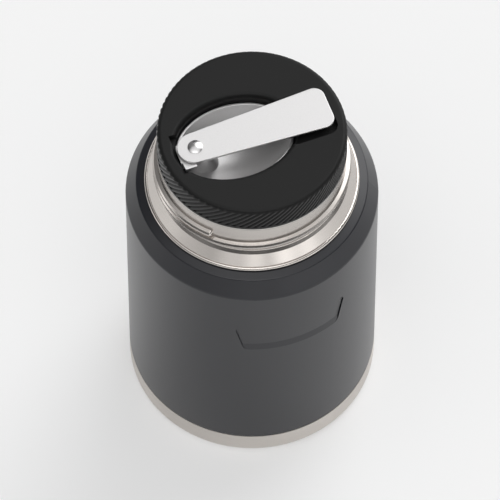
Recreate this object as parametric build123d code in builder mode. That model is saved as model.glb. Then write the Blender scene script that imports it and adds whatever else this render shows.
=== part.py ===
from build123d import *
import math
import os

# Wide-mouth vacuum food jar with a screw-in stopper that stows a folding spoon.
# Millimetres, +Z up. The origin is the centre of the foot ring, on the surface the jar stands on.
# The front of the jar faces -Y. Azimuths are degrees from the front, growing towards +X.

# ---------------------------------------- driving sizes: jar body
body_r = 52.0  # outside of the coated side wall and of the bare base band
sheet = 0.8  # drawn stainless sheet
seat_gap = 0.1  # clearance between pieces that slip together and are then welded or bonded
base_h = 12.5  # height of the bare base band
joint_groove = 0.35  # open line between the base band and the coated wall
side_h = 115.0  # coated side wall, from the groove up to the shoulder's edge
shoulder_rise = 8.0  # steep cone above the shoulder's edge
shoulder_round = 2.5
ledge_rise = 1.0  # nearly flat ledge inside the cone
neck_h = 25.0  # from the collar's seat to the mouth
foot_round = 3.5  # rounded lower edge of the base band
foot_ring_w = 8.0  # width of the ring the jar stands on
foot_recess = 1.2  # how far the middle of the bottom is raised
tail_up = 4.0  # lower end of the side wall's tail inside the base band
small_round = 0.5  # small bends of the sheet
groove_bend_r = 0.25  # tighter bends where the side wall steps in to its tail

# ---------------------------------------- driving sizes: neck and collar
neck_r = 38.7  # outside of the bare neck
collar_spread = 5.5  # how far the collar's bead stands outside the neck
ledge_w = 3.4  # coated ledge that shows outside the collar
bead_r = 1.0  # rolled bead at the collar's lower edge
skirt_in_bead = 0.25  # bead's centre to the outside of the skirt that it closes
flare_h = 7.1  # height of the collar's flare above its seat
flare_top_step = 1.25  # how far the flare starts outside the neck
flare_foot_h = 2.2  # lower end of the straight flare, above the seat
cup_thread_lead = 8.0  # two-start outer thread for a cup
cup_thread_h = 1.95
cup_thread_w = 3.0
cup_thread_crest = 1.5
cup_thread_bend = 0.7  # share of the ridge's height at which its sides bend in
cup_thread_flat = 2 / 3  # share of the crest's width that is flat
cup_thread_sweep = 240.0  # degrees that each start runs
cup_thread_down = 8.5  # ridge centre at its upper end, below the mouth
cup_thread_end_azimuth = -26.0
cup_thread_starts = 2

# ---------------------------------------- driving sizes: inner vessel
jacket_gap = 4.7  # vacuum space beside the vessel
neck_gap = 1.25  # vacuum space in the neck
floor_gap = 4.5  # vacuum space under the vessel
vessel_corner_r = 9.0
vessel_shoulder_h = 11.0
vessel_shoulder_round = 8.0
throat_round = 3.0
mouth_round = 1.0
throat_step = 3.15  # width of the ledge the stopper's ring seals on
throat_h = 6.5  # straight throat under the sealing ledge
seal_depth = 22.3  # sealing ledge below the mouth
base_disc_z = 7.4  # underside of the inner base disc
base_skirt_h = 3.2
dimple_r = 10.0
dimple_depth = 1.6
pump_hole_r = 1.6

# ---------------------------------------- driving sizes: stopper
cap_overhang = 0.1
cap_h = 12.7
cap_lift_gap = 0.3  # running gap between the cap's skirt and the mouth
cap_edge_r = 1.9
cap_top_t = 2.2
cap_skirt_t = 3.0
knurl_count = 83
knurl_depth = 0.65
knurl_crest_share = 0.3  # part of each ridge's pitch that is its crest
knurl_helix = 44.5  # degrees from the horizontal
knurl_land = 1.1  # plain height under the knurl
knurl_set_in = 0.05  # crests inside the plain edge
stopper_thread_lead = 6.0
stopper_thread_h = 1.1
stopper_thread_root = 2.4
stopper_thread_crest = 1.2
stopper_thread_turns = 1.5
stopper_thread_low = 7.0  # ridge centre at its lower end, above the sealing ledge
thread_clear = 0.5
thread_root_in = 0.3  # how deep a ridge's root is sunk in its wall
plug_wall = 1.8
plug_flange_t = 2.0
plug_flange_up = 1.3  # plug's flange above the cap's lower edge
plug_tail_h = 5.5  # plug below the sealing ledge
plug_bottom_round = 3.0
gasket_groove_h = 2.9
gasket_groove_depth = 2.9
groove_below_seal = 0.1
gasket_lip = 0.8  # how far the ring stands out past the tail
gasket_bulge = 0.3  # rounding of the ring's outer edges
soft_gap = 0.3  # soft rings and foam stay this clear of hard walls
throat_clear = 0.6  # tail of the plug inside the throat

# ---------------------------------------- driving sizes: folding spoon
stow_angle = 20.5  # direction of the stowed spoon, from +X
heel_margin = 6.2  # cap's edge to the heel end of the recess
toe_margin = 4.9  # cap's edge to the toe end of the recess
end_clear = 0.5  # spoon to recess, lengthwise
heel_len = 8.1  # heel end of the recess to the pivot
bowl_len = 49.2
bowl_w = 36.0
bowl_depth = 8.3
bowl_rim_w = 0.9
bowl_edge_r = 0.2  # rounding of the rim's two edges
spoon_t = 1.0
rim_drop = 4.6  # bowl's rim below the cap's top
recess_clear = 0.6  # bowl to recess, sideways
recess_edge_r = 1.9  # rounded upper edge of the bowl's recess
heel_half_w = 9.4  # half width of the heel pocket
heel_depth = 3.1
ear_lip = 0.2  # straight heel edge beyond the bowl's oval
ear_half_w = 7.8
ear_len = 12.0
ear_corner_r = 7.0
land_half_w = 4.4  # flat land that carries the pivot
land_len = 11.8
land_slope = 24.0  # degrees that the land's sides lean from the vertical
land_corner_r = 4.3
land_edge_r = 0.8
land_under_edge_r = 0.4
handle_lift = 0.4  # handle's underside above the cap's top
handle_t = 1.2
handle_edge_r = 0.3
handle_pivot_half_w = 7.0
handle_past_pivot = 0.5  # the round end is centred this far beyond the pivot
handle_end_half_w = 9.75
handle_corner_r = 4.5
washer_t = 0.3
washer_r = 3.6
play = 0.05  # axial play in the riveted pivot
rivet_r = 1.5
rivet_running = 0.05
rivet_head_r = 3.1
rivet_head_h = 0.95
rivet_head_edge_h = 0.2375  # upright edge under the dome
rivet_tail_r = 2.6
rivet_tail_h = 0.8
rivet_tail_edge_r = 0.3
tab_len = 4.8
tab_t = 0.9
tab_rise = 1.15  # tab's top above the land
tab_from_end = 0.6
tab_root_w = 4.2  # how far the tab's foot reaches into the land
tab_clear = 0.3  # handle to tab when the handle is swung out
pocket_near_clear = 0.55  # handle to pocket on the tight side
pocket_finger_clear = 2.7  # handle to pocket on the finger's side
pocket_depth = 4.0
pocket_len = 22.0
pocket_corner_r = 4.5
tub_wall = 1.6

# ---------------------------------------- driving sizes: badge panel
badge_azimuth = 19.5
badge_top_half_w = 24.1
badge_bottom_half_w = 20.4
badge_up = 92.1  # panel's upper edge above the base band
badge_h = 17.6
badge_fade_h = 4.0  # height over which the panel's lower end runs out
badge_depth = 0.45
badge_corner_r = 3.0
badge_back = 0.7  # extra metal behind the panel
badge_back_sink = 0.2  # how deep the extra metal is sunk in the wall
badge_reach = 13.0  # how far the panel's cutter reaches in and out of the wall

# ---------------------------------------- driving sizes: small inner pieces
foil_t = 0.2
foil_gap = 0.3
foil_margin = 6.0
getter_r = 5.0
getter_h = 2.4
getter_wall = 0.6
getter_boss_r = 2.5  # raised middle of the pan
getter_offset = 24.0
seal_head_r = 4.0
seal_head_h = 1.0
seal_edge_r = 0.3

# ---------------------------------------- places worked out from the sizes
shoulder_z = base_h + joint_groove + side_h
ledge_z = shoulder_z + shoulder_rise
seat_z = ledge_z + ledge_rise
mouth_z = seat_z + neck_h
lip_underside_z = mouth_z - sheet
neck_tube_z = lip_underside_z - seat_gap

band_inner_r = body_r - sheet
tail_r = band_inner_r - seat_gap
foot_inner_r = body_r - foot_round - foot_ring_w
base_disc_r = tail_r - sheet - seat_gap
collar_r = neck_r + collar_spread
ledge_r = collar_r + ledge_w
bead_centre = (collar_r - bead_r, seat_z + bead_r + seat_gap)
flare_top_r = neck_r + flare_top_step
shell_neck_r = neck_r - sheet - seat_gap

badge_top_z = base_h + badge_up
badge_bottom_z = badge_top_z - badge_h
panel_floor_r = body_r - badge_depth

vessel_neck_r = shell_neck_r - sheet - neck_gap
mouth_r = vessel_neck_r - sheet
vessel_outer_r = body_r - sheet - jacket_gap
vessel_inner_r = vessel_outer_r - sheet
vessel_floor_z = base_disc_z + sheet + floor_gap
seal_z = mouth_z - seal_depth
throat_r = mouth_r - throat_step
throat_bottom_z = seal_z - throat_h
vessel_side_top_z = throat_bottom_z - vessel_shoulder_h

cap_bottom_z = mouth_z + cap_lift_gap
cap_top_z = cap_bottom_z + cap_h
cap_underside_z = cap_top_z - cap_top_t
cap_r = neck_r + cap_overhang
cap_inner_r = cap_r - cap_skirt_t
knurl_bottom_z = cap_bottom_z + knurl_land
plug_r = mouth_r - stopper_thread_h - thread_clear
plug_inner_r = plug_r - plug_wall
plug_tail_r = throat_r - throat_clear
groove_r = plug_r - gasket_groove_depth
plug_core_r = groove_r - plug_wall
groove_bottom_z = seal_z - groove_below_seal
groove_top_z = groove_bottom_z + gasket_groove_h
plug_bottom_z = seal_z - plug_tail_h
plug_top_z = cap_bottom_z + plug_flange_up + plug_flange_t
stopper_thread_z = seal_z + stopper_thread_low
gasket_bottom_z = seal_z + soft_gap
gasket_top_z = groove_top_z - soft_gap
gasket_r = throat_r + throat_clear + gasket_lip + soft_gap

heel_s = heel_margin - cap_r
toe_s = cap_r - toe_margin
pivot_s = heel_s + heel_len
handle_end_s = toe_s - end_clear
spoon_heel_s = heel_s + end_clear
bowl_a = bowl_len / 2
bowl_b = bowl_w / 2
bowl_s = spoon_heel_s + ear_lip + bowl_a
rim_z = cap_top_z - rim_drop
heel_floor_z = cap_top_z - heel_depth
handle_z = cap_top_z + handle_lift
handle_top_z = handle_z + handle_t
washer_z = handle_z - play - washer_t
land_z = washer_z
land_underside_z = land_z - spoon_t
well_bottom_z = rim_z - bowl_depth
spoon_bottom_z = well_bottom_z - spoon_t
recess_growth = spoon_t + soft_gap
tub_growth = recess_growth + tub_wall
shelf_z = rim_z - recess_growth
tub_bottom_z = well_bottom_z - tub_growth


def radial_plane(azimuth, radius, z):
    """Upright plane that faces away from the jar's axis, with its Y up."""
    turn = math.radians(azimuth)
    out = Vector(math.sin(turn), -math.cos(turn), 0)
    along = Vector(math.cos(turn), math.sin(turn), 0)
    return Plane(origin=out * radius + Vector(0, 0, z), x_dir=along, z_dir=out)


def stow_plane(z, s=0.0):
    """Horizontal plane at height z, with its X along the stowed spoon, s out from the jar's axis."""
    turn = math.radians(stow_angle)
    along = Vector(math.cos(turn), math.sin(turn), 0)
    return Plane(origin=along * s + Vector(0, 0, z), x_dir=along, z_dir=(0, 0, 1))


def ridge(wall_r, low_z, lead, degrees, end_azimuth, half_outline):
    """A right-hand thread ridge that rises to end_azimuth. half_outline holds (outward, upward) points."""
    outline = half_outline + [(out, -up) for out, up in reversed(half_outline)]
    with BuildPart() as thread:
        with BuildLine(Plane.XY.offset(low_z)) as path:
            Helix(pitch=lead, height=lead * degrees / 360, radius=wall_r)
        with BuildSketch(Plane(origin=path.line @ 0, x_dir=(1, 0, 0), z_dir=path.line % 0)):
            with BuildLine():
                Polyline(*outline, close=True)
            make_face()
        sweep(path=path.line, is_frenet=True)
    # the helix starts at +X, which is azimuth 90
    return thread.part.rotate(Axis.Z, end_azimuth - 90 - degrees)


def ridge_end(wall_r, z, azimuth, half_outline):
    """The rounded end of a ridge: its outline turned about the line that points away from the jar's axis."""
    upright = radial_plane(azimuth, wall_r, z)
    side_on = Plane(origin=upright.origin, x_dir=upright.z_dir, z_dir=-upright.x_dir)
    with BuildPart() as end:
        with BuildSketch(side_on):
            with BuildLine():
                Polyline((half_outline[0][0], 0), *half_outline, (half_outline[-1][0], 0), close=True)
            make_face()
        revolve(axis=Axis(origin=upright.origin, direction=upright.z_dir))
    return end.part


def bowl_hollow(growth):
    """The bowl's hollow, grown outwards: a cap of a sphere, narrowed across the spoon."""
    half_len = bowl_a - bowl_rim_w
    half_w = bowl_b - bowl_rim_w
    sphere_r = (half_len**2 + bowl_depth**2) / (2 * bowl_depth)
    centre_z = well_bottom_z + sphere_r
    grown_r = sphere_r + growth
    top_z = rim_z + spoon_t
    edge_angle = math.acos((centre_z - top_z) / grown_r)
    edge = (grown_r * math.sin(edge_angle), top_z)
    middle = (grown_r * math.sin(edge_angle / 2), centre_z - grown_r * math.cos(edge_angle / 2))
    bottom = (0, centre_z - grown_r)
    with BuildPart() as hollow:
        with BuildSketch(Plane.XZ):
            with BuildLine():
                ThreePointArc(bottom, middle, edge)
                Polyline(edge, (0, top_z), bottom)
            make_face()
        revolve(axis=Axis.Z)
        scale(by=(1, (half_w + growth) / (half_len + growth), 1))
    return stow_plane(0, bowl_s).from_local_coords(hollow.part)


def land_block(top_z, inset, edge_r):
    """The raised land of the spoon down to the bowl's bottom, with leaning sides and a rounded top."""
    depth = top_z - spoon_bottom_z
    spread = depth * math.tan(math.radians(land_slope))
    # it runs on past the heel, where the spoon's outline cuts it off
    front_s = spoon_heel_s + land_len - inset
    back_s = front_s - 2 * land_len
    half_w = land_half_w - inset
    corner_r = land_corner_r - inset
    centre_s = (front_s + back_s) / 2
    length = front_s - back_s
    with BuildPart() as block:
        with BuildSketch(stow_plane(top_z, centre_s)):
            RectangleRounded(length, 2 * half_w, corner_r)
        with BuildSketch(stow_plane(spoon_bottom_z, centre_s)):
            RectangleRounded(length + 2 * spread, 2 * (half_w + spread), corner_r + spread)
        loft()
        fillet(block.faces().sort_by(Axis.Z)[-1].edges(), edge_r)
    return block.part


def badge_prism(growth):
    """The badge panel's trapezoid, grown by a margin and carried through the side wall."""
    middle_z = (badge_top_z + badge_bottom_z) / 2
    half_h = badge_h / 2 + growth
    with BuildPart() as prism:
        with BuildSketch(radial_plane(badge_azimuth, body_r, middle_z)) as panel:
            with BuildLine():
                Polyline(
                    (-badge_top_half_w - growth, half_h),
                    (badge_top_half_w + growth, half_h),
                    (badge_bottom_half_w + growth, -half_h),
                    (-badge_bottom_half_w - growth, -half_h),
                    close=True,
                )
            make_face()
            fillet(panel.vertices(), badge_corner_r + growth)
        extrude(amount=badge_reach, both=True)
    return prism.part


os.makedirs("parts", exist_ok=True)

# ---------------------------------------- base cap: bare steel band and bottom
with BuildPart() as base_cap:
    with BuildSketch(Plane.XZ):
        with BuildLine():
            FilletPolyline(
                (0, foot_recess),
                (foot_inner_r - foot_recess, foot_recess),
                (foot_inner_r, 0),
                (body_r, 0),
                (body_r, base_h),
                radius=[small_round, small_round, foot_round],
            )
            offset(amount=sheet, side=Side.LEFT, kind=Kind.INTERSECTION)
        make_face()
    revolve(axis=Axis.Z)
base_cap.part.label = "base_cap"

# ---------------------------------------- badge panel: the hollow and the sheet behind it
with BuildPart() as badge_hollow:
    add(badge_prism(0))
    with BuildSketch(Plane.XZ):
        with BuildLine():
            Polyline(
                (body_r, badge_bottom_z),
                (panel_floor_r, badge_bottom_z + badge_fade_h),
                (panel_floor_r, badge_top_z + badge_depth),
                (body_r + sheet, badge_top_z + badge_depth),
                (body_r + sheet, badge_bottom_z),
                close=True,
            )
        make_face()
    revolve(axis=Axis.Z, mode=Mode.INTERSECT)

with BuildPart() as badge_backing:
    add(badge_prism(badge_back))
    with BuildSketch(Plane.XZ):
        with Locations((band_inner_r - badge_back, badge_bottom_z - badge_back)):
            Rectangle(
                badge_back + badge_back_sink,
                badge_h + 2 * badge_back,
                align=(Align.MIN, Align.MIN),
            )
    revolve(axis=Axis.Z, mode=Mode.INTERSECT)

# ---------------------------------------- outer shell: coated wall, shoulder, neck tube
with BuildPart() as outer_shell:
    with BuildSketch(Plane.XZ):
        with BuildLine():
            FilletPolyline(
                (tail_r, tail_up),
                (tail_r, base_h + joint_groove),
                (body_r, base_h + joint_groove),
                (body_r, shoulder_z),
                (ledge_r, ledge_z),
                (collar_r, seat_z),
                (shell_neck_r, seat_z),
                (shell_neck_r, neck_tube_z),
                radius=[groove_bend_r, groove_bend_r, shoulder_round, sheet, sheet, sheet],
            )
            offset(amount=sheet, side=Side.LEFT, kind=Kind.INTERSECTION)
        make_face()
    revolve(axis=Axis.Z)
    add(badge_backing.part)
    add(badge_hollow.part, mode=Mode.SUBTRACT)
outer_shell.part.label = "outer_shell"

# ---------------------------------------- vacuum base: disc that closes the jacket
with BuildPart() as vacuum_base:
    with BuildSketch(Plane.XZ):
        with BuildLine():
            FilletPolyline(
                (0, base_disc_z - dimple_depth),
                (dimple_r - dimple_depth, base_disc_z - dimple_depth),
                (dimple_r, base_disc_z),
                (base_disc_r - sheet, base_disc_z),
                (base_disc_r - sheet, base_disc_z - base_skirt_h),
                radius=[small_round, small_round, small_round],
            )
            offset(amount=sheet, side=Side.LEFT, kind=Kind.INTERSECTION)
        make_face()
    revolve(axis=Axis.Z)
    with Locations((0, 0, base_disc_z)):
        Hole(pump_hole_r)
vacuum_base.part.label = "vacuum_base"

# ---------------------------------------- evacuation seal: welded stopper in the pump hole
with BuildPart() as evacuation_seal:
    with BuildSketch(Plane.XY.offset(base_disc_z - dimple_depth)):
        Circle(seal_head_r)
    extrude(amount=-seal_head_h)
    fillet(evacuation_seal.faces().sort_by(Axis.Z)[0].edges(), seal_edge_r)
    with BuildSketch(Plane.XY.offset(base_disc_z - dimple_depth)):
        Circle(pump_hole_r - seat_gap)
    extrude(amount=sheet)
evacuation_seal.part.label = "evacuation_seal"

# ---------------------------------------- getter: pan that keeps the vacuum clean
with BuildPart() as getter:
    with BuildSketch(Plane.XY.offset(base_disc_z + sheet)):
        with Locations((getter_offset, 0)):
            Circle(getter_r)
    extrude(amount=getter_h)
    with BuildSketch(Plane.XY.offset(base_disc_z + sheet + getter_h)):
        with Locations((getter_offset, 0)):
            Circle(getter_r - getter_wall)
            Circle(getter_boss_r, mode=Mode.SUBTRACT)
    extrude(amount=-getter_wall, mode=Mode.SUBTRACT)
getter.part.label = "getter"

# ---------------------------------------- inner vessel: food chamber, throat, seal ledge, mouth
stopper_ridge = [
    (-thread_root_in, stopper_thread_root / 2),
    (stopper_thread_h, stopper_thread_crest / 2),
]
vessel_ridge = [(-out, up) for out, up in stopper_ridge]
stopper_thread_sweep = 360 * stopper_thread_turns

with BuildPart() as inner_vessel:
    with BuildSketch(Plane.XZ):
        with BuildLine():
            FilletPolyline(
                (0, vessel_floor_z + sheet),
                (vessel_inner_r, vessel_floor_z + sheet),
                (vessel_inner_r, vessel_side_top_z),
                (throat_r, throat_bottom_z),
                (throat_r, seal_z),
                (mouth_r, seal_z),
                (mouth_r, mouth_z),
                (neck_r, mouth_z),
                radius=[
                    vessel_corner_r,
                    vessel_shoulder_round,
                    throat_round,
                    small_round,
                    small_round,
                    mouth_round,
                ],
            )
            offset(amount=sheet, side=Side.RIGHT, kind=Kind.INTERSECTION)
        make_face()
    revolve(axis=Axis.Z)
    add(
        ridge(
            mouth_r,
            stopper_thread_z + stopper_thread_lead / 2,
            stopper_thread_lead,
            stopper_thread_sweep,
            0,
            vessel_ridge,
        )
    )
inner_vessel.part.label = "inner_vessel"

# ---------------------------------------- foil: radiation shield round and under the vessel
foil_bottom_z = vessel_floor_z + vessel_corner_r + foil_margin
foil_top_z = vessel_side_top_z - foil_margin
with BuildPart() as foil_sleeve:
    with BuildSketch(Plane.XY.offset(foil_bottom_z)):
        Circle(vessel_outer_r + foil_gap + foil_t)
        Circle(vessel_outer_r + foil_gap, mode=Mode.SUBTRACT)
    extrude(amount=foil_top_z - foil_bottom_z)
foil_sleeve.part.label = "foil_sleeve"

with BuildPart() as foil_disc:
    with BuildSketch(Plane.XY.offset(vessel_floor_z - foil_gap - foil_t)):
        Circle(vessel_inner_r - vessel_corner_r)
    extrude(amount=foil_t)
foil_disc.part.label = "foil_disc"

# ---------------------------------------- neck collar: bare neck with cup thread, rolled skirt
cup_ridge = [
    (-thread_root_in, cup_thread_w / 2),
    (cup_thread_bend * cup_thread_h, (cup_thread_w + cup_thread_crest) / 4),
    (cup_thread_h, cup_thread_flat * cup_thread_crest / 2),
]
cup_thread_top_z = mouth_z - cup_thread_down
cup_thread_rise = cup_thread_lead * cup_thread_sweep / 360

with BuildPart() as neck_collar:
    with BuildSketch(Plane.XZ):
        with BuildLine():
            FilletPolyline(
                (bead_centre[0] - skirt_in_bead, bead_centre[1]),
                (bead_centre[0] - skirt_in_bead, seat_z + flare_foot_h),
                (flare_top_r, seat_z + flare_h),
                (neck_r, seat_z + flare_h + flare_top_step),
                (neck_r, neck_tube_z),
                radius=[small_round, small_round, small_round],
            )
            offset(amount=sheet, side=Side.LEFT, kind=Kind.INTERSECTION)
        make_face()
        with Locations(bead_centre):
            Circle(bead_r)
    revolve(axis=Axis.Z)
    for start_number in range(cup_thread_starts):
        end_azimuth = cup_thread_end_azimuth + 360 / cup_thread_starts * start_number
        add(
            ridge(
                neck_r,
                cup_thread_top_z - cup_thread_rise,
                cup_thread_lead,
                cup_thread_sweep,
                end_azimuth,
                cup_ridge,
            )
        )
        add(ridge_end(neck_r, cup_thread_top_z, end_azimuth, cup_ridge))
        add(
            ridge_end(
                neck_r,
                cup_thread_top_z - cup_thread_rise,
                end_azimuth - cup_thread_sweep,
                cup_ridge,
            )
        )
neck_collar.part.label = "neck_collar"

# ---------------------------------------- stopper gasket: soft ring in the plug's groove
with BuildPart() as stopper_gasket:
    with BuildSketch(Plane.XY.offset(gasket_bottom_z)):
        Circle(gasket_r)
        Circle(groove_r + soft_gap, mode=Mode.SUBTRACT)
    extrude(amount=gasket_top_z - gasket_bottom_z)
    fillet(stopper_gasket.edges().group_by(SortBy.LENGTH)[-1], gasket_bulge)
stopper_gasket.part.label = "stopper_gasket"

# ---------------------------------------- stopper plug: threaded cup under the cap
with BuildPart() as stopper_plug:
    with BuildSketch(Plane.XZ):
        with BuildLine():
            Polyline(
                (0, plug_bottom_z),
                (plug_tail_r, plug_bottom_z),
                (plug_tail_r, groove_bottom_z),
                (groove_r, groove_bottom_z),
                (groove_r, groove_top_z),
                (plug_r, groove_top_z),
                (plug_r, plug_top_z - plug_flange_t),
                (cap_inner_r - seat_gap, plug_top_z - plug_flange_t),
                (cap_inner_r - seat_gap, plug_top_z),
                (plug_inner_r, plug_top_z),
                (plug_inner_r, groove_top_z + plug_wall),
                (plug_core_r, groove_top_z + plug_wall),
                (plug_core_r, plug_bottom_z + plug_wall),
                (0, plug_bottom_z + plug_wall),
                close=True,
            )
        make_face()
    revolve(axis=Axis.Z)
    fillet(stopper_plug.faces().sort_by(Axis.Z)[0].edges(), plug_bottom_round)
    add(
        ridge(
            plug_r,
            stopper_thread_z,
            stopper_thread_lead,
            stopper_thread_sweep,
            0,
            stopper_ridge,
        )
    )
stopper_plug.part.label = "stopper_plug"

# ---------------------------------------- stopper insulation: foam inside the plug
foam_bottom_z = plug_bottom_z + plug_wall + soft_gap
foam_step_z = groove_top_z + plug_wall + soft_gap
foam_top_z = tub_bottom_z - soft_gap
with BuildPart() as stopper_insulation:
    with BuildSketch(Plane.XY.offset(foam_bottom_z)):
        Circle(plug_core_r - soft_gap)
    extrude(amount=foam_top_z - foam_bottom_z)
    with BuildSketch(Plane.XY.offset(foam_step_z)):
        Circle(plug_inner_r - soft_gap)
    extrude(amount=foam_top_z - foam_step_z)
stopper_insulation.part.label = "stopper_insulation"

# ---------------------------------------- stopper cap: knurled cap with the spoon's recess
knurl_pitch = 360 / knurl_count
crest_angle = knurl_pitch * knurl_crest_share
knurl_h = cap_top_z - knurl_bottom_z
knurl_turn = math.degrees(knurl_h / math.tan(math.radians(knurl_helix)) / cap_r)

knurl_corners = []
for ridge_number in range(knurl_count):
    crest = ridge_number * knurl_pitch
    knurl_corners.append((cap_r - knurl_set_in, crest))
    knurl_corners.append((cap_r - knurl_set_in, crest + crest_angle))
    knurl_corners.append((cap_r - knurl_depth, crest + (knurl_pitch + crest_angle) / 2))
knurl_outline = [(r * math.cos(math.radians(a)), r * math.sin(math.radians(a))) for r, a in knurl_corners]

# what the knurl leaves: a star-shaped bar, twisted as it rises, on a plain foot
with BuildPart() as knurled_bar:
    with BuildSketch() as knurl_section:
        with BuildLine():
            Polyline(*knurl_outline, close=True)
        make_face()
    with Locations((0, 0, knurl_bottom_z)):
        add(
            Solid.extrude_linear_with_rotation(
                knurl_section.face().outer_wire(),
                center=(0, 0, 0),
                normal=(0, 0, knurl_h),
                angle=knurl_turn,
            )
        )
    with BuildSketch(Plane.XY.offset(cap_bottom_z)):
        Circle(cap_r)
    extrude(amount=knurl_land)

handle_middle_w = (pocket_near_clear - pocket_finger_clear) / 2
handle_pocket_w = 2 * handle_end_half_w + pocket_near_clear + pocket_finger_clear
handle_pocket_s = toe_s - pocket_len / 2
heel_pocket_len = bowl_s - heel_s
heel_pocket_s = heel_s + heel_pocket_len / 2

with BuildPart() as stopper_cap:
    with BuildSketch(Plane.XY.offset(cap_bottom_z)):
        Circle(cap_r)
    extrude(amount=cap_h)
    fillet(stopper_cap.faces().sort_by(Axis.Z)[-1].edges(), cap_edge_r)
    # space inside the skirt
    with BuildSketch(Plane.XY.offset(cap_bottom_z)):
        Circle(cap_inner_r)
    extrude(amount=cap_underside_z - cap_bottom_z, mode=Mode.SUBTRACT)
    # walls under the recess
    with BuildSketch(stow_plane(cap_underside_z, bowl_s)):
        Ellipse(bowl_a + recess_clear + tub_wall, bowl_b + recess_clear + tub_wall)
    extrude(amount=shelf_z - tub_wall - cap_underside_z)
    with BuildSketch(stow_plane(cap_underside_z, heel_pocket_s)):
        Rectangle(heel_pocket_len + 2 * tub_wall, 2 * (heel_half_w + tub_wall))
    extrude(amount=heel_floor_z - tub_wall - cap_underside_z)
    with BuildSketch(stow_plane(cap_underside_z, handle_pocket_s)):
        with Locations((0, handle_middle_w)):
            RectangleRounded(pocket_len + 2 * tub_wall, handle_pocket_w + 2 * tub_wall, pocket_corner_r)
    extrude(amount=cap_top_z - pocket_depth - tub_wall - cap_underside_z)
    add(bowl_hollow(tub_growth))
    # the recess: oval with a rounded edge, heel pocket, handle pocket, bowl's hollow
    with BuildSketch(stow_plane(shelf_z, bowl_s)):
        Ellipse(bowl_a + recess_clear, bowl_b + recess_clear)
    extrude(amount=cap_top_z - shelf_z, mode=Mode.SUBTRACT)
    fillet(stopper_cap.edges(Select.LAST).group_by(Axis.Z)[-1], recess_edge_r)
    with BuildSketch(stow_plane(cap_top_z, heel_pocket_s)):
        Rectangle(heel_pocket_len, 2 * heel_half_w)
    extrude(amount=-heel_depth, mode=Mode.SUBTRACT)
    with BuildSketch(stow_plane(cap_top_z, handle_pocket_s)):
        with Locations((0, handle_middle_w)):
            RectangleRounded(pocket_len, handle_pocket_w, pocket_corner_r)
    extrude(amount=-pocket_depth, mode=Mode.SUBTRACT)
    add(bowl_hollow(recess_growth), mode=Mode.SUBTRACT)
    # the knurl, which runs out into the rounded upper edge
    add(knurled_bar.part, mode=Mode.INTERSECT)
stopper_cap.part.label = "stopper_cap"

# ---------------------------------------- spoon bowl: oval bowl with a raised land for the pivot
ear_centre_s = spoon_heel_s + ear_len / 2
land_edge_inset = (1 - math.sin(math.radians(land_slope))) / math.cos(math.radians(land_slope))
tab_s = spoon_heel_s + tab_from_end + tab_len / 2
handle_taper = (handle_end_half_w - handle_pivot_half_w) / (handle_end_s - pivot_s)
tab_inner_w = handle_pivot_half_w * (1 + handle_taper) + tab_clear

with BuildPart() as spoon_footprint:
    with BuildSketch(stow_plane(spoon_bottom_z, bowl_s)):
        Ellipse(bowl_a, bowl_b)
    extrude(amount=land_z - spoon_bottom_z)
    with BuildSketch(stow_plane(heel_floor_z + soft_gap, ear_centre_s)):
        ear = Rectangle(ear_len, 2 * ear_half_w)
        fillet(ear.vertices().group_by(Axis.X)[0].sort_by(Axis.Y)[-1], ear_corner_r)
    extrude(amount=land_z - heel_floor_z - soft_gap)

# all that lies under the spoon's sheet
with BuildPart() as spoon_underside:
    with BuildSketch(stow_plane(spoon_bottom_z - spoon_t, bowl_s)):
        Circle(bowl_len)
    extrude(amount=rim_z - spoon_bottom_z)
    add(bowl_hollow(spoon_t), mode=Mode.SUBTRACT)
    add(land_block(land_z - spoon_t, spoon_t * land_edge_inset, land_under_edge_r))

with BuildPart() as spoon_bowl:
    with BuildSketch(stow_plane(spoon_bottom_z, bowl_s)):
        Circle(bowl_len)
    extrude(amount=rim_z - spoon_bottom_z)
    add(bowl_hollow(0), mode=Mode.SUBTRACT)
    add(land_block(land_z, 0, land_edge_r))
    add(spoon_footprint.part, mode=Mode.INTERSECT)
    add(spoon_underside.part, mode=Mode.SUBTRACT)
    # tab bent up from the land's edge, which stops the handle
    with BuildSketch(stow_plane(land_underside_z, tab_s)):
        with Locations((0, -tab_inner_w - tab_t)):
            Rectangle(tab_len, tab_t + tab_root_w, align=(Align.CENTER, Align.MIN))
    extrude(amount=spoon_t)
    with BuildSketch(stow_plane(land_z, tab_s)):
        with Locations((0, -tab_inner_w)):
            Rectangle(tab_len, tab_t, align=(Align.CENTER, Align.MAX))
    extrude(amount=tab_rise)
    with Locations(stow_plane(land_z, pivot_s)):
        Hole(rivet_r + rivet_running)
    rim_edges = spoon_bowl.edges().filter_by_position(Axis.Z, rim_z, rim_z)
    fillet(rim_edges.filter_by(lambda edge: edge.length > bowl_len), bowl_edge_r)
spoon_bowl.part.label = "spoon_bowl"

# ---------------------------------------- pivot washer: spacer between the land and the handle
with BuildPart() as pivot_washer:
    with BuildSketch(stow_plane(washer_z, pivot_s)):
        Circle(washer_r)
        Circle(rivet_r + rivet_running, mode=Mode.SUBTRACT)
    extrude(amount=washer_t)
pivot_washer.part.label = "pivot_washer"

# ---------------------------------------- spoon handle: flat tapered plate that swings on the rivet
with BuildPart() as spoon_handle:
    with BuildSketch(stow_plane(handle_z)):
        with Locations((pivot_s - handle_past_pivot, 0)):
            Circle(handle_pivot_half_w)
        corner_s = handle_end_s - handle_corner_r
        corner_w = handle_end_half_w - handle_corner_r
        with Locations((corner_s, corner_w), (corner_s, -corner_w)):
            Circle(handle_corner_r)
        make_hull()
    extrude(amount=handle_t)
    flats = spoon_handle.faces().filter_by(Axis.Z)
    fillet(flats.edges(), handle_edge_r)
    with Locations(stow_plane(handle_top_z, pivot_s)):
        Hole(rivet_r + rivet_running)
spoon_handle.part.label = "spoon_handle"

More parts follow.
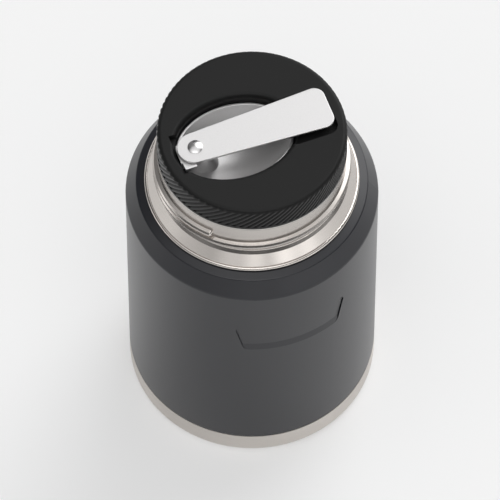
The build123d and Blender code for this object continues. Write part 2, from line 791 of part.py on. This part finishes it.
# ---------------------------------------- spoon rivet: domed head above, closed end under the land
pivot_upright = Plane(
    origin=stow_plane(0, pivot_s).origin,
    x_dir=(1, 0, 0),
    z_dir=(0, -1, 0),
)
rivet_head_z = handle_top_z + play
with BuildPart() as spoon_rivet:
    with BuildSketch(pivot_upright):
        with BuildLine():
            Polyline(
                (0, rivet_head_z + rivet_head_h),
                (0, land_underside_z - rivet_tail_h),
                (rivet_tail_r, land_underside_z - rivet_tail_h),
                (rivet_tail_r, land_underside_z),
                (rivet_r, land_underside_z),
                (rivet_r, rivet_head_z),
                (rivet_head_r, rivet_head_z),
                (rivet_head_r, rivet_head_z + rivet_head_edge_h),
            )
            TangentArc(
                (0, rivet_head_z + rivet_head_h),
                (rivet_head_r, rivet_head_z + rivet_head_edge_h),
                tangent=(1, 0),
            )
        make_face()
    revolve(axis=Axis(origin=pivot_upright.origin, direction=(0, 0, 1)))
    fillet(spoon_rivet.faces().sort_by(Axis.Z)[0].edges(), rivet_tail_edge_r)
spoon_rivet.part.label = "spoon_rivet"

# ---------------------------------------- one STEP file for each piece
for piece in (
    base_cap,
    outer_shell,
    vacuum_base,
    evacuation_seal,
    getter,
    inner_vessel,
    foil_sleeve,
    foil_disc,
    neck_collar,
    stopper_gasket,
    stopper_plug,
    stopper_insulation,
    stopper_cap,
    spoon_bowl,
    pivot_washer,
    spoon_handle,
    spoon_rivet,
):
    export_step(piece.part, f"parts/{piece.part.label}.step")
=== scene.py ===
# %% [markdown]
# # A vacuum food jar with a folding spoon
#
# The jar is drawn and welded stainless steel with a coated side wall. Its black stopper screws into the neck
# and holds a folding steel spoon. The pieces could be modelled here by hand, but then they would no longer
# fit each other and their joints. So they come from a imported CAD model, in metres, already in their
# places. This lesson gives each finish its material and lights the jar in a small studio.

import math

import bpy
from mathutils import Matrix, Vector


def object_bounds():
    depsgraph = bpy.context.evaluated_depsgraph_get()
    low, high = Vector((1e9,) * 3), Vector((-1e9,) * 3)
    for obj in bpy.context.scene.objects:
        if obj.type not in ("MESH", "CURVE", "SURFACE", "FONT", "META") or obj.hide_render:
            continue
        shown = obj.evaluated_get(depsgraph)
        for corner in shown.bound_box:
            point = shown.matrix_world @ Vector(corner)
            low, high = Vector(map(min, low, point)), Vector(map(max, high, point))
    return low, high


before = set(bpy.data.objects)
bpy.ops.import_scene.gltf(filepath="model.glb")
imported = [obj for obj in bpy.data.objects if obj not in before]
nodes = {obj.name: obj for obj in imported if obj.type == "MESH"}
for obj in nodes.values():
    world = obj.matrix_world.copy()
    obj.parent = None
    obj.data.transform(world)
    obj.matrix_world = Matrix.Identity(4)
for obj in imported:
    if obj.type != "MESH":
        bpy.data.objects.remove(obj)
cad_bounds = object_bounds()
scene = bpy.context.scene
MM = 0.001
print("pieces:", ", ".join(sorted(nodes)))

# %% [markdown]
# ## Camera
#
# The jar is seen from above, so that its stopper and its side both show. A short lens close by would frame it
# as well, but it would swell the cap and shrink the foot. So the camera stands about three metres away and
# looks down by about sixty degrees through a long lens, which keeps the sides nearly parallel. The colours
# are shown as they are, with no film curve over them, so that white stays white.

# %% Camera
LENS_MM = 508.0
SENSOR_MM = 36.0
CAMERA_PLACE = Vector((0, -1.487, 2.617))
LOOK_DOWN = math.radians(59.63)
FARTHEST_SEEN_M = 20.0
FRAME_PX = 500
AXIS_PX = 1.95  # how far the jar's axis stands to the right of the frame's middle

camera_data = bpy.data.cameras.new("camera")
camera_data.lens = LENS_MM
camera_data.sensor_width = SENSOR_MM
camera_data.clip_end = FARTHEST_SEEN_M
camera_data.shift_x = -AXIS_PX / FRAME_PX
camera = bpy.data.objects.new("camera", camera_data)
camera.location = CAMERA_PLACE
camera.rotation_euler = (math.pi / 2 - LOOK_DOWN, 0, 0)
scene.collection.objects.link(camera)
scene.camera = camera
scene.view_settings.view_transform = "Standard"
print("camera stands", round(CAMERA_PLACE.length, 2), "m away")
print("camera looks down by", round(math.degrees(LOOK_DOWN), 1), "degrees")

# %% [markdown]
# ## Colours and nodes
#
# Colours are written as sRGB hex values, the way a paint chart gives them. A renderer works with linear
# numbers, so one function turns the one into the other. The nodes could be set up line by line, but that
# hides what matters. So one more function adds a shader node: it sets the node's own settings, and each input
# either gets a plain value or is linked to another node's output. A material then reads as a list of what
# makes it.


# %% A colour from the paint chart
def linear(colour):
    """A hex colour such as '#2f2f30' as linear red, green, blue and a full alpha."""
    channels = []
    for place in (1, 3, 5):
        share = int(colour[place : place + 2], 16) / 255
        # the sRGB curve is straight near black and a power above that
        channels.append(share / 12.92 if share <= 0.04045 else ((share + 0.055) / 1.055) ** 2.4)
    return (*channels, 1.0)


print("mid grey is", round(linear("#808080")[0], 3), "in linear light")


# %% A node, a material and the piece that wears it
def add_node(tree, kind, settings=None, inputs=None):
    """One shader node with its settings, and with its inputs set or linked."""
    node = tree.nodes.new(kind)
    for name, value in (settings or {}).items():
        setattr(node, name, value)
    for name, value in (inputs or {}).items():
        if isinstance(value, bpy.types.NodeSocket):
            tree.links.new(value, node.inputs[name])
        else:
            node.inputs[name].default_value = value
    return node


def new_material(name):
    """An empty material and its node tree."""
    material = bpy.data.materials.new(name)
    material.use_nodes = True
    material.node_tree.nodes.clear()
    return material, material.node_tree


def close_material(tree, surface):
    """Link the finished surface to the material's output."""
    add_node(tree, "ShaderNodeOutputMaterial", inputs={"Surface": surface.outputs[0]})


def dress(material, *names):
    """Give the named CAD nodes this material."""
    for name in names:
        mesh = nodes[name].data
        mesh.materials.clear()
        mesh.materials.append(material)
    print(material.name, "on", ", ".join(names))


print("pieces still to dress:", len(nodes))

# %% [markdown]
# ## Powder coat
#
# The side wall is sprayed with a fine matt powder that melts and cures into a skin of about 0.08 mm. Up close
# it has a faint, pebbled grain, which softens its reflections, so the eye reads a very dark colour under a
# broad silky sheen that grows towards the edges. A plain dark diffuse colour would look like paper, and a
# tiled image of paint would repeat. So a dielectric of middling roughness carries the sheen, and two noises,
# one for the grain and one for slow drifts in the film, carry the skin.

# %% Powder coat
GRAIN_MM = 0.35  # a real grain is about a third of this, too fine to show, so it's drawn coarser
GRAIN_DEPTH_MM = 0.01
DRIFT_MM = 14.0


def powder_coat():
    material, tree = new_material("powder_coat")
    place = add_node(tree, "ShaderNodeTexCoord").outputs["Object"]
    grain = add_node(
        tree,
        "ShaderNodeTexNoise",
        inputs={"Vector": place, "Scale": 1 / (GRAIN_MM * MM), "Detail": 2.0, "Roughness": 0.6},
    )
    drift = add_node(
        tree, "ShaderNodeTexNoise", inputs={"Vector": place, "Scale": 1 / (DRIFT_MM * MM), "Detail": 3.0}
    )
    colour = add_node(
        tree,
        "ShaderNodeMix",
        {"data_type": "RGBA"},
        {"Factor": drift.outputs["Fac"], "A": linear("#17181e"), "B": linear("#1a1b22")},
    )
    gloss = add_node(
        tree,
        "ShaderNodeMapRange",
        inputs={"Value": grain.outputs["Fac"], "To Min": 0.28, "To Max": 0.35},
    )
    bump = add_node(
        tree,
        "ShaderNodeBump",
        inputs={"Height": grain.outputs["Fac"], "Strength": 0.2, "Distance": GRAIN_DEPTH_MM * MM},
    )
    surface = add_node(
        tree,
        "ShaderNodeBsdfPrincipled",
        inputs={
            "Base Color": colour.outputs["Result"],
            "Roughness": gloss.outputs["Result"],
            "Normal": bump.outputs["Normal"],
            "IOR": 1.5,
        },
    )
    close_material(tree, surface)
    return material


dress(powder_coat(), "outer_shell")

# %% [markdown]
# ## Turned and brushed stainless steel
#
# The neck and the bottom band are left bare. They were finished while they spun, with an abrasive held
# against them, so the scratches run round the jar. The eye sees fine level lines, and highlights that stretch
# up and down while they stay narrow sideways. The lines could be cut into the mesh, but they're far finer
# than its faces. So they come from a noise that is fed the angle round the axis, the height and the radius,
# with the angle kept slow and the other two fast. The stretched highlights come from an anisotropic shader
# whose direction is turned a quarter from the scratches.

# %% A pattern that runs round the jar
CHANGES_PER_RADIAN = 5.0  # how often the scratches change on their way round


def distance_from_axis(tree, split):
    """How far each point lies from the jar's upright axis, from its separated X, Y and Z."""
    level = add_node(
        tree,
        "ShaderNodeCombineXYZ",
        inputs={"X": split.outputs["X"], "Y": split.outputs["Y"], "Z": 0.0},
    )
    return add_node(
        tree, "ShaderNodeVectorMath", {"operation": "LENGTH"}, {0: level.outputs["Vector"]}
    ).outputs["Value"]


def round_the_axis(tree, fine):
    """Slow angle, fine radius and fine height as one vector. 'fine' is the changes in a metre."""
    place = add_node(tree, "ShaderNodeTexCoord").outputs["Object"]
    split = add_node(tree, "ShaderNodeSeparateXYZ", inputs={"Vector": place})
    angle = add_node(
        tree,
        "ShaderNodeMath",
        {"operation": "ARCTAN2"},
        {0: split.outputs["Y"], 1: split.outputs["X"]},
    )
    slow_angle = add_node(
        tree,
        "ShaderNodeMath",
        {"operation": "MULTIPLY"},
        {0: angle.outputs["Value"], 1: CHANGES_PER_RADIAN},
    )
    fine_radius = add_node(
        tree,
        "ShaderNodeMath",
        {"operation": "MULTIPLY"},
        {0: distance_from_axis(tree, split), 1: fine},
    )
    fine_height = add_node(
        tree, "ShaderNodeMath", {"operation": "MULTIPLY"}, {0: split.outputs["Z"], 1: fine}
    )
    return add_node(
        tree,
        "ShaderNodeCombineXYZ",
        inputs={
            "X": slow_angle.outputs["Value"],
            "Y": fine_radius.outputs["Value"],
            "Z": fine_height.outputs["Value"],
        },
    ).outputs["Vector"]


band_radius_mm = cad_bounds[1][0] / MM
print("a scratch on the bottom band is about", round(band_radius_mm / CHANGES_PER_RADIAN, 1), "mm long")

# %% Turned steel
SCRATCH_MM = 0.22  # real scratches are a tenth of this, too fine to show, so these are drawn coarser
ACROSS_THE_SCRATCHES = 0.25  # a quarter turn from the direction round the axis


def turned_steel(name, light, dark, smooth, rough, depth_mm, stretch):
    """Bare steel with scratches round the axis. 'stretch' is how far the highlights spread across them."""
    material, tree = new_material(name)
    scratches = add_node(
        tree,
        "ShaderNodeTexNoise",
        inputs={
            "Vector": round_the_axis(tree, 1 / (SCRATCH_MM * MM)),
            "Scale": 1.0,
            "Detail": 3.0,
            "Roughness": 0.7,
        },
    )
    colour = add_node(
        tree,
        "ShaderNodeMix",
        {"data_type": "RGBA"},
        {"Factor": scratches.outputs["Fac"], "A": linear(dark), "B": linear(light)},
    )
    gloss = add_node(
        tree,
        "ShaderNodeMapRange",
        inputs={"Value": scratches.outputs["Fac"], "To Min": smooth, "To Max": rough},
    )
    bump = add_node(
        tree,
        "ShaderNodeBump",
        inputs={"Height": scratches.outputs["Fac"], "Strength": 0.3, "Distance": depth_mm * MM},
    )
    tangent = add_node(tree, "ShaderNodeTangent", {"direction_type": "RADIAL", "axis": "Z"})
    surface = add_node(
        tree,
        "ShaderNodeBsdfPrincipled",
        inputs={
            "Base Color": colour.outputs["Result"],
            "Metallic": 1.0,
            "Roughness": gloss.outputs["Result"],
            "Anisotropic": stretch,
            "Anisotropic Rotation": ACROSS_THE_SCRATCHES,
            "Tangent": tangent.outputs["Tangent"],
            "Normal": bump.outputs["Normal"],
        },
    )
    close_material(tree, surface)
    return material


print("scratches lie about", SCRATCH_MM, "mm apart")

# %% The bottom band and the neck
brushed_steel = turned_steel(
    "brushed_stainless_steel",
    light="#d8d3ce",
    dark="#cdc7c1",
    smooth=0.32,
    rough=0.4,
    depth_mm=0.003,
    stretch=0.9,
)
dress(brushed_steel, "base_cap")

# the neck was finished with a finer abrasive, so its highlights stay tighter
fine_turned_steel = turned_steel(
    "fine_turned_stainless_steel",
    light="#cdc8c4",
    dark="#c2bcb6",
    smooth=0.16,
    rough=0.26,
    depth_mm=0.003,
    stretch=0.5,
)
dress(fine_turned_steel, "neck_collar")

# %% [markdown]
# ## Electropolished vessel steel
#
# The food chamber, the parts that close the vacuum and the pan that keeps it clean are polished in acid by an
# electric current. It takes the peaks off the lines that forming left, so the eye sees a bright surface with
# hardly any direction. A plain smooth metal would look like chrome. So the turned steel is used once more,
# with shallower lines, less roughness and less stretch.

# %% Electropolished steel
polished_steel = turned_steel(
    "electropolished_stainless_steel",
    light="#c9c6c2",
    dark="#c0bdb8",
    smooth=0.12,
    rough=0.2,
    depth_mm=0.002,
    stretch=0.3,
)
dress(polished_steel, "inner_vessel", "vacuum_base", "evacuation_seal", "getter")

# %% [markdown]
# ## Satin spoon steel
#
# The spoon is stamped from sheet and tumbled with fine media. That beats fine dimples into it, so the eye
# sees an even satin with a slight sparkle and no direction. Each effect could have a noise of its own, but
# then the sparkle would part from the dimples that make it. So one noise moves the colour, the roughness and
# the bump. The bowl is a little rougher, because the media reach less into the hollow, and the rivet's head
# was struck by a polished punch, so it's smoother.

# %% Satin steel
SATIN_MM = 0.35  # real dimples are about a quarter of this, too fine to show, so they're drawn coarser
SATIN_DEPTH_MM = 0.01


def satin_steel(name, smooth, rough):
    """Tumbled steel whose roughness lies between the two values."""
    material, tree = new_material(name)
    place = add_node(tree, "ShaderNodeTexCoord").outputs["Object"]
    dimples = add_node(
        tree,
        "ShaderNodeTexNoise",
        inputs={"Vector": place, "Scale": 1 / (SATIN_MM * MM), "Detail": 2.0},
    )
    colour = add_node(
        tree,
        "ShaderNodeMix",
        {"data_type": "RGBA"},
        {"Factor": dimples.outputs["Fac"], "A": linear("#c2c1c1"), "B": linear("#d9d8d8")},
    )
    gloss = add_node(
        tree,
        "ShaderNodeMapRange",
        inputs={"Value": dimples.outputs["Fac"], "To Min": smooth, "To Max": rough},
    )
    bump = add_node(
        tree,
        "ShaderNodeBump",
        inputs={"Height": dimples.outputs["Fac"], "Strength": 0.15, "Distance": SATIN_DEPTH_MM * MM},
    )
    surface = add_node(
        tree,
        "ShaderNodeBsdfPrincipled",
        inputs={
            "Base Color": colour.outputs["Result"],
            "Metallic": 1.0,
            "Roughness": gloss.outputs["Result"],
            "Normal": bump.outputs["Normal"],
        },
    )
    close_material(tree, surface)
    return material


dress(satin_steel("satin_stainless_steel", smooth=0.3, rough=0.38), "spoon_handle", "pivot_washer")
dress(satin_steel("tumbled_stainless_steel", smooth=0.38, rough=0.46), "spoon_bowl")
dress(satin_steel("struck_stainless_steel", smooth=0.18, rough=0.24), "spoon_rivet")

# %% [markdown]
# ## Moulded polypropylene
#
# The stopper is black polypropylene, moulded against a spark-eroded tool. The fine pits of the tool leave a
# matt skin, and the eye sees almost no highlight on it. Fingers polish the crests of the knurl, which stand
# furthest out, so they're smoother, and the crests are also painted a little lighter as a painted highlight.
# The crests could have a material of their own, but the change has no edge. So the distance from the axis
# blends in a smoother skin with a painted highlight towards the outside.

# %% Moulded polypropylene
PIT_MM = 0.3  # real pits are about a sixth of this, too fine to show, so they're drawn coarser
PIT_DEPTH_MM = 0.02
KNURL_R_MM = 38.75  # over the crests of the knurl
# inside this width the crests are also drawn lighter, which is a painted highlight
CREST_MM = 0.35  # the outermost part of each ridge, which fingers polish
WORN_ROUGHNESS = 0.3


def moulded_polypropylene():
    material, tree = new_material("moulded_polypropylene")
    place = add_node(tree, "ShaderNodeTexCoord").outputs["Object"]
    pits = add_node(
        tree,
        "ShaderNodeTexNoise",
        inputs={"Vector": place, "Scale": 1 / (PIT_MM * MM), "Detail": 3.0},
    )
    colour = add_node(
        tree,
        "ShaderNodeMix",
        {"data_type": "RGBA"},
        {"Factor": pits.outputs["Fac"], "A": linear("#121212"), "B": linear("#161616")},
    )
    gloss = add_node(
        tree,
        "ShaderNodeMapRange",
        inputs={"Value": pits.outputs["Fac"], "To Min": 0.42, "To Max": 0.54},
    )
    split = add_node(tree, "ShaderNodeSeparateXYZ", inputs={"Vector": place})
    # how far out towards the crests: it carries both the real polish from fingers and a painted highlight
    crest_wear_and_highlight = add_node(
        tree,
        "ShaderNodeMapRange",
        inputs={
            "Value": distance_from_axis(tree, split),
            "From Min": (KNURL_R_MM - CREST_MM) * MM,
            "From Max": KNURL_R_MM * MM,
        },
    ).outputs["Result"]
    # painted highlight: the crests are drawn lighter, as if they catch the light
    crest_highlight_colour = add_node(
        tree,
        "ShaderNodeMix",
        {"data_type": "RGBA"},
        {"Factor": crest_wear_and_highlight, "A": colour.outputs["Result"], "B": linear("#242424")},
    )
    worn_gloss = add_node(
        tree,
        "ShaderNodeMix",
        inputs={"Factor": crest_wear_and_highlight, "A": gloss.outputs["Result"], "B": WORN_ROUGHNESS},
    )
    bump = add_node(
        tree,
        "ShaderNodeBump",
        inputs={"Height": pits.outputs["Fac"], "Strength": 0.2, "Distance": PIT_DEPTH_MM * MM},
    )
    surface = add_node(
        tree,
        "ShaderNodeBsdfPrincipled",
        inputs={
            "Base Color": crest_highlight_colour.outputs["Result"],
            "Roughness": worn_gloss.outputs["Result"],
            "Normal": bump.outputs["Normal"],
            "IOR": 1.49,
            "Specular IOR Level": 0.22,
        },
    )
    close_material(tree, surface)
    return material


dress(moulded_polypropylene(), "stopper_cap", "stopper_plug")

# %% [markdown]
# ## Silicone
#
# The sealing ring is pale silicone, cured in a polished mould. A little light enters it, so the eye sees a
# soft, waxy surface. It could be made see-through like glass, but this silicone is filled and only milky. So
# a small share of the light scatters under its skin, and slow patches of mould dust change its gloss.

# %% Silicone
MOULD_DUST_MM = 1.2
SCATTER_MM = 1.0  # how far the light travels under the skin


def cured_silicone():
    material, tree = new_material("cured_silicone")
    place = add_node(tree, "ShaderNodeTexCoord").outputs["Object"]
    dust = add_node(
        tree,
        "ShaderNodeTexNoise",
        inputs={"Vector": place, "Scale": 1 / (MOULD_DUST_MM * MM), "Detail": 3.0},
    )
    gloss = add_node(
        tree,
        "ShaderNodeMapRange",
        inputs={"Value": dust.outputs["Fac"], "To Min": 0.32, "To Max": 0.5},
    )
    surface = add_node(
        tree,
        "ShaderNodeBsdfPrincipled",
        inputs={
            "Base Color": linear("#b9bab8"),
            "Roughness": gloss.outputs["Result"],
            "IOR": 1.41,
            "Subsurface Weight": 0.3,
            "Subsurface Radius": (1.0, 1.0, 1.0),
            "Subsurface Scale": SCATTER_MM * MM,
        },
    )
    close_material(tree, surface)
    return material


dress(cured_silicone(), "stopper_gasket")

# %% [markdown]
# ## Foam
#
# The stopper is filled with closed-cell foam, expanded in a mould of its shape. The cells at its surface stay
# closed, so the eye sees dull cream, with small rounded cells and shaded grooves between them. The cells
# could be modelled, but that takes thousands of faces on a piece that stays hidden. So one cell pattern gives
# both the rounded cells and the grooves, with painted shade in them.

# %% Foam
CELL_MM = 0.8  # real cells are about half of this, too fine to show, so they're drawn coarser
CELL_DEPTH_MM = 0.15


def closed_cell_foam():
    material, tree = new_material("closed_cell_foam")
    place = add_node(tree, "ShaderNodeTexCoord").outputs["Object"]
    cells = add_node(
        tree, "ShaderNodeTexVoronoi", inputs={"Vector": place, "Scale": 1 / (CELL_MM * MM)}
    )
    # painted shade: the colour darkens towards the grooves between the cells
    colour = add_node(
        tree,
        "ShaderNodeMix",
        {"data_type": "RGBA"},
        {"Factor": cells.outputs["Distance"], "A": linear("#f1ecdd"), "B": linear("#dcd6c4")},
    )
    bump = add_node(
        tree,
        "ShaderNodeBump",
        {"invert": True},
        {"Height": cells.outputs["Distance"], "Strength": 0.6, "Distance": CELL_DEPTH_MM * MM},
    )
    surface = add_node(
        tree,
        "ShaderNodeBsdfPrincipled",
        inputs={
            "Base Color": colour.outputs["Result"],
            "Roughness": 0.85,
            "Normal": bump.outputs["Normal"],
        },
    )
    close_material(tree, surface)
    return material


dress(closed_cell_foam(), "stopper_insulation")

# %% [markdown]
# ## Foil
#
# The foil that keeps heat in is rolled thin and bright, then wrapped on by hand. It crumples, so the eye sees
# small facets that meet in creases, each catching the light on its own. A soft noise would make it look like
# water. So the facets come from a cell pattern, in which the distance to the second-nearest cell has creases.

# %% Foil
CREASE_MM = 9.0
CREASE_DEPTH_MM = 0.4


def crumpled_foil():
    material, tree = new_material("crumpled_foil")
    place = add_node(tree, "ShaderNodeTexCoord").outputs["Object"]
    creases = add_node(
        tree,
        "ShaderNodeTexVoronoi",
        {"feature": "F2"},
        {"Vector": place, "Scale": 1 / (CREASE_MM * MM)},
    ).outputs["Distance"]
    gloss = add_node(
        tree, "ShaderNodeMapRange", inputs={"Value": creases, "To Min": 0.12, "To Max": 0.3}
    )
    bump = add_node(
        tree,
        "ShaderNodeBump",
        inputs={"Height": creases, "Strength": 0.5, "Distance": CREASE_DEPTH_MM * MM},
    )
    surface = add_node(
        tree,
        "ShaderNodeBsdfPrincipled",
        inputs={
            "Base Color": linear("#cdcdcf"),
            "Metallic": 1.0,
            "Roughness": gloss.outputs["Result"],
            "Normal": bump.outputs["Normal"],
        },
    )
    close_material(tree, surface)
    return material


dress(crumpled_foil(), "foil_sleeve", "foil_disc")

# %% [markdown]
# ## The table
#
# The jar stands on a wide white card. Stronger lights would make the card whiter, but they would wash out the
# jar. So the card takes the jar's shadow from the lights, and it also glows a little by itself, as a lit
# backdrop does, for the camera and for reflections and clear materials. Matt surfaces get nothing from it.

# %% Table
CARD_HALF_M = 6.0
CARD_GLOW = 0.335


def white_card():
    mesh = bpy.data.meshes.new("table_card")
    half = CARD_HALF_M
    mesh.from_pydata(
        [(-half, -half, 0), (half, -half, 0), (half, half, 0), (-half, half, 0)],
        [],
        [(0, 1, 2, 3)],
    )
    card = bpy.data.objects.new("table_card", mesh)
    scene.collection.objects.link(card)
    material, tree = new_material("white_card")
    ray = add_node(tree, "ShaderNodeLightPath")
    mirrored = add_node(
        tree,
        "ShaderNodeMath",
        {"operation": "MAXIMUM"},
        {0: ray.outputs["Is Glossy Ray"], 1: ray.outputs["Is Transmission Ray"]},
    )
    seen = add_node(
        tree,
        "ShaderNodeMath",
        {"operation": "MAXIMUM"},
        {0: ray.outputs["Is Camera Ray"], 1: mirrored.outputs["Value"]},
    )
    glow = add_node(
        tree, "ShaderNodeMath", {"operation": "MULTIPLY"}, {0: seen.outputs["Value"], 1: CARD_GLOW}
    )
    surface = add_node(
        tree,
        "ShaderNodeBsdfPrincipled",
        inputs={
            "Base Color": linear("#cccccc"),
            "Roughness": 0.9,
            "Specular IOR Level": 0.0,
            "Emission Color": (1, 1, 1, 1),
            "Emission Strength": glow.outputs["Value"],
        },
    )
    close_material(tree, surface)
    mesh.materials.append(material)
    print("card", 2 * half, "m wide")


white_card()

# %% [markdown]
# ## Studio light
#
# Bare steel shows its surroundings more than its own colour, so a studio is built for it: pale panels glow
# round the jar and the gaps between them stay dark. Lamps could light the jar too, but steel would show each
# as a hard spot. So all the light comes from the sky. The brightest panel hangs at the back right and throws
# the soft shadow to the front left. Each panel is a soft round patch, made from the angle between the ray and
# the panel's direction. Low strips stand round the jar as well, and the gap between those at the front right
# and the one at the left is what turns one side of each round wall darker. A strip is a patch made with the
# ray's height stretched, which leaves it wide and low. Past the card's edge stands a low pale wall.

# %% Panels, strips and wall
# each row: azimuth from the front towards the right, elevation and reach in degrees, then strength
SKY_PANELS = {
    "overhead": (0, 90, 40, 1.09),
    "high front": (0, 62, 28, 1.76),
    "high right": (60, 50, 35, 0.36),
    "high left": (-60, 50, 35, 0.55),
    "key, back right": (148, 42, 30, 3.58),
    "high back": (180, 38, 30, 0.07),
    "back left": (-150, 40, 30, 0.2),
}
SKY_STRIPS = {
    "left, edge on": (-86, 6, 24, 1.82),
    "front left": (-35, 6, 26, 0.22),
    "front": (-10, 6, 26, 1.04),
    "front right 1": (15, 6, 26, 1.1),
    "front right 2": (40, 6, 26, 1.82),
    "front right 3": (65, 6, 26, 1.8),
    "right": (90, 6, 26, 0.25),
    "back right": (145, 6, 30, 2.47),
    "back left, low": (-145, 6, 30, 1.43),
}
STRIP_FLATTEN = 2.5  # how much wider than high a level strip is
SKY_BASE = 0.02  # what the dark gaps still give
WALL = 0.89  # how bright the low pale wall is
WALL_TOP = 4.0  # degrees above the horizon where the wall has faded out
WALL_FADE = 2.0  # degrees over which it fades
print("panels:", "; ".join(SKY_PANELS))
print("strips:", "; ".join(SKY_STRIPS))


# %% Directions
def heading(azimuth, elevation):
    """Unit vector from the jar. Azimuth 0 is in front of it, growing to the right."""
    turn, rise = math.radians(azimuth), math.radians(elevation)
    return Vector((math.sin(turn) * math.cos(rise), -math.cos(turn) * math.cos(rise), math.sin(rise)))


def flattened(direction, flatten):
    """The direction with its height stretched, so that a round patch round it becomes a level strip."""
    x, y, z = direction
    return Vector((x, y, z * flatten)).normalized()


panels = [
    (heading(azimuth, elevation), reach, strength)
    for azimuth, elevation, reach, strength in SKY_PANELS.values()
]
strips = [
    (flattened(heading(azimuth, elevation), STRIP_FLATTEN), reach, strength)
    for azimuth, elevation, reach, strength in SKY_STRIPS.values()
]
print("directions for", len(panels), "panels and", len(strips), "strips")


# %% Sky
def add_patches(tree, ray, patches, light):
    """Add a soft round patch for each row, seen along the ray, to the light that is there so far."""
    for aim, reach, strength in patches:
        facing = add_node(tree, "ShaderNodeVectorMath", {"operation": "DOT_PRODUCT"}, {0: ray, 1: aim})
        patch = add_node(
            tree,
            "ShaderNodeMapRange",
            {"interpolation_type": "SMOOTHSTEP"},
            {
                "Value": facing.outputs["Value"],
                "From Min": math.cos(math.radians(reach)),
                "From Max": 1.0,
                "To Max": strength,
            },
        )
        light = add_node(
            tree, "ShaderNodeMath", {"operation": "ADD"}, {0: light, 1: patch.outputs["Result"]}
        ).outputs["Value"]
    return light


def studio_sky():
    world = bpy.data.worlds.new("studio_sky")
    scene.world = world
    world.use_nodes = True
    tree = world.node_tree
    tree.nodes.clear()
    ray = add_node(tree, "ShaderNodeTexCoord").outputs["Generated"]
    stretched = add_node(
        tree, "ShaderNodeVectorMath", {"operation": "MULTIPLY"}, {0: ray, 1: (1, 1, STRIP_FLATTEN)}
    )
    strip_ray = add_node(
        tree, "ShaderNodeVectorMath", {"operation": "NORMALIZE"}, {0: stretched.outputs["Vector"]}
    ).outputs["Vector"]
    light = add_patches(tree, ray, panels, SKY_BASE)
    light = add_patches(tree, strip_ray, strips, light)
    height = add_node(tree, "ShaderNodeSeparateXYZ", inputs={"Vector": ray}).outputs["Z"]
    wall = add_node(
        tree,
        "ShaderNodeMapRange",
        {"interpolation_type": "SMOOTHSTEP"},
        {
            "Value": height,
            "From Min": math.sin(math.radians(WALL_TOP)),
            "From Max": math.sin(math.radians(WALL_TOP - WALL_FADE)),
            "To Max": WALL,
        },
    )
    brightest = add_node(
        tree, "ShaderNodeMath", {"operation": "MAXIMUM"}, {0: light, 1: wall.outputs["Result"]}
    )
    sky = add_node(
        tree,
        "ShaderNodeBackground",
        inputs={"Color": (1, 1, 1, 1), "Strength": brightest.outputs["Value"]},
    )
    add_node(tree, "ShaderNodeOutputWorld", inputs={"Surface": sky.outputs[0]})
    print("sky made of", len(tree.nodes), "nodes")


studio_sky()
